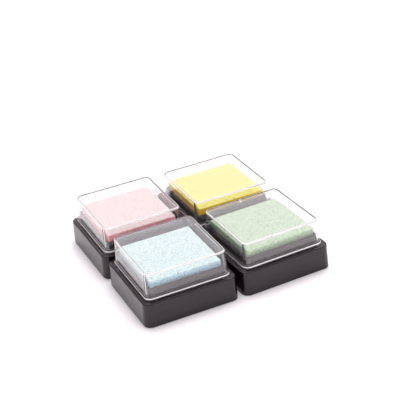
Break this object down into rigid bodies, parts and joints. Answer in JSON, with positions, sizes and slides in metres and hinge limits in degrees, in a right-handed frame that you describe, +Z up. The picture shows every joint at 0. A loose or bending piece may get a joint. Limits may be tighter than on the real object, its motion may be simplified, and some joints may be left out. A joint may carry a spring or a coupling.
{
  "type": "ink pad",
  "caption": "Set of small square ink pads in pale and bright inks, each a raised foam pad on a black base under a clear lift-off lid.",
  "frame": {"origin": "middle of the bounding box of the four pads, on the plane they stand on", "axes": "+Z up; +X to the right and +Y to the back, along the sides of the blue pad; the front is -Y"},
  "size_m": [0.0824, 0.0822, 0.0217],
  "materials": {
    "base": "glossy brownish-black moulded plastic with a fine satin grain",
    "adhesive": "thin double-sided adhesive film",
    "lid": "crystal-clear polished moulded plastic",
    "foam_blue": "fine open-cell sponge soaked with pale blue ink",
    "foam_green": "fine open-cell sponge soaked with pale green ink",
    "foam_pink": "fine open-cell sponge soaked with pale pink ink",
    "foam_yellow": "fine open-cell sponge soaked with bright yellow ink"
  },
  "bodies": {
    "blue_pad": {"blue_base": "base", "blue_adhesive": "adhesive", "blue_foam": "foam_blue"},
    "blue_lid": {"blue_lid": "lid"},
    "green_pad": {"green_base": "base", "green_adhesive": "adhesive", "green_foam": "foam_green"},
    "green_lid": {"green_lid": "lid"},
    "pink_pad": {"pink_base": "base", "pink_adhesive": "adhesive", "pink_foam": "foam_pink"},
    "pink_lid": {"pink_lid": "lid"},
    "yellow_pad": {"yellow_base": "base", "yellow_adhesive": "adhesive", "yellow_foam": "foam_yellow"},
    "yellow_lid": {"yellow_lid": "lid"}
  },
  "joints": [
    {"name": "blue_lid_lift", "type": "slide", "parent": "blue_pad", "child": "blue_lid", "axis": [0, 0, 1], "range_m": [0, 0.03]},
    {"name": "green_lid_lift", "type": "slide", "parent": "green_pad", "child": "green_lid", "axis": [0, 0, 1], "range_m": [0, 0.03]},
    {"name": "pink_lid_lift", "type": "slide", "parent": "pink_pad", "child": "pink_lid", "axis": [0, 0, 1], "range_m": [0, 0.03]},
    {"name": "yellow_lid_lift", "type": "slide", "parent": "yellow_pad", "child": "yellow_lid", "axis": [0, 0, 1], "range_m": [0, 0.03]},
    {"name": "green_pad_lift", "type": "slide", "parent": "blue_pad", "child": "green_pad", "axis": [0, 0, 1], "range_m": [0, 0.06]},
    {"name": "pink_pad_lift", "type": "slide", "parent": "blue_pad", "child": "pink_pad", "axis": [0, 0, 1], "range_m": [0, 0.06]},
    {"name": "yellow_pad_lift", "type": "slide", "parent": "blue_pad", "child": "yellow_pad", "axis": [0, 0, 1], "range_m": [0, 0.06]}
  ]
}
